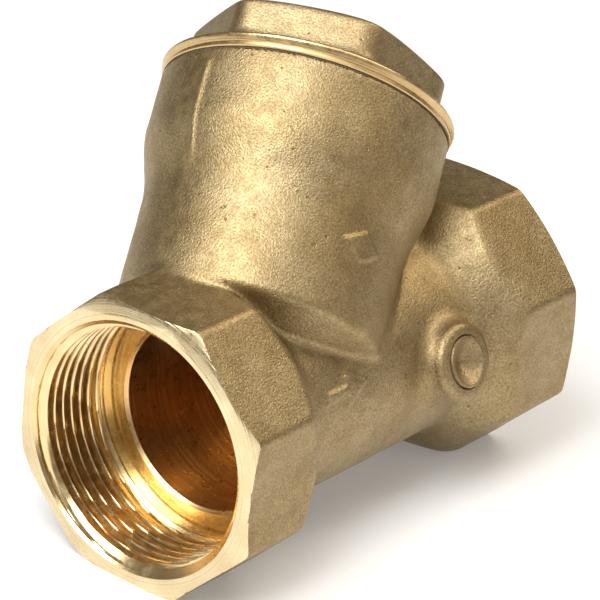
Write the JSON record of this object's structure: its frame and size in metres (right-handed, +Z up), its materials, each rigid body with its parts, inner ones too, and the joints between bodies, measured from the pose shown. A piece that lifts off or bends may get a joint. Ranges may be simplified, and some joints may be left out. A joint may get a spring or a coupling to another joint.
{
  "type": "swing check valve",
  "caption": "Y-pattern brass swing check valve with octagonal female threaded ends, a leaning screwed-cap neck and a hinged, rubber-faced disc inside.",
  "frame": {"origin": "on the bored pipe axis, where the inlet's thread begins, 2 mm inside the inlet face", "axes": "+X along the pipe from inlet to outlet, +Z up with the valve lying on one octagon flat; the neck leans towards the outlet and to +Y"},
  "size_m": [0.0995, 0.073, 0.0938],
  "materials": {
    "forged_brass": "blasted forging with machined faces and threads",
    "cap_brass": "blasted, with turned edges",
    "inner_brass": "turned",
    "steel": "ground stainless steel",
    "rubber": "moulded black rubber",
    "gasket": "pressed fibre"
  },
  "bodies": {
    "housing": {"valve_body": "forged_brass", "bonnet_cap": "cap_brass", "cap_gasket": "gasket", "drain_plug": "cap_brass", "hinge_hanger": "inner_brass", "hinge_pin": "steel", "pin_clips": "steel"},
    "arm": {"swing_arm": "inner_brass"},
    "disc": {"disc_plate": "inner_brass", "disc_seal": "rubber", "seal_retainer": "inner_brass", "retainer_screw": "inner_brass", "disc_washer": "inner_brass", "disc_nut": "inner_brass"}
  },
  "joints": [
    {"name": "clapper_swing", "type": "hinge", "parent": "housing", "child": "arm", "pos_m": [0.02682, 0.01176, 0.02957], "axis": [0, -0.9239, 0.3827], "range_deg": [0, 72]},
    {"name": "disc_spin", "type": "hinge", "parent": "arm", "child": "disc", "pos_m": [0.04061, 0.00733, 0.01888], "axis": [0.6428, 0.2932, 0.7077], "continuous": true}
  ]
}
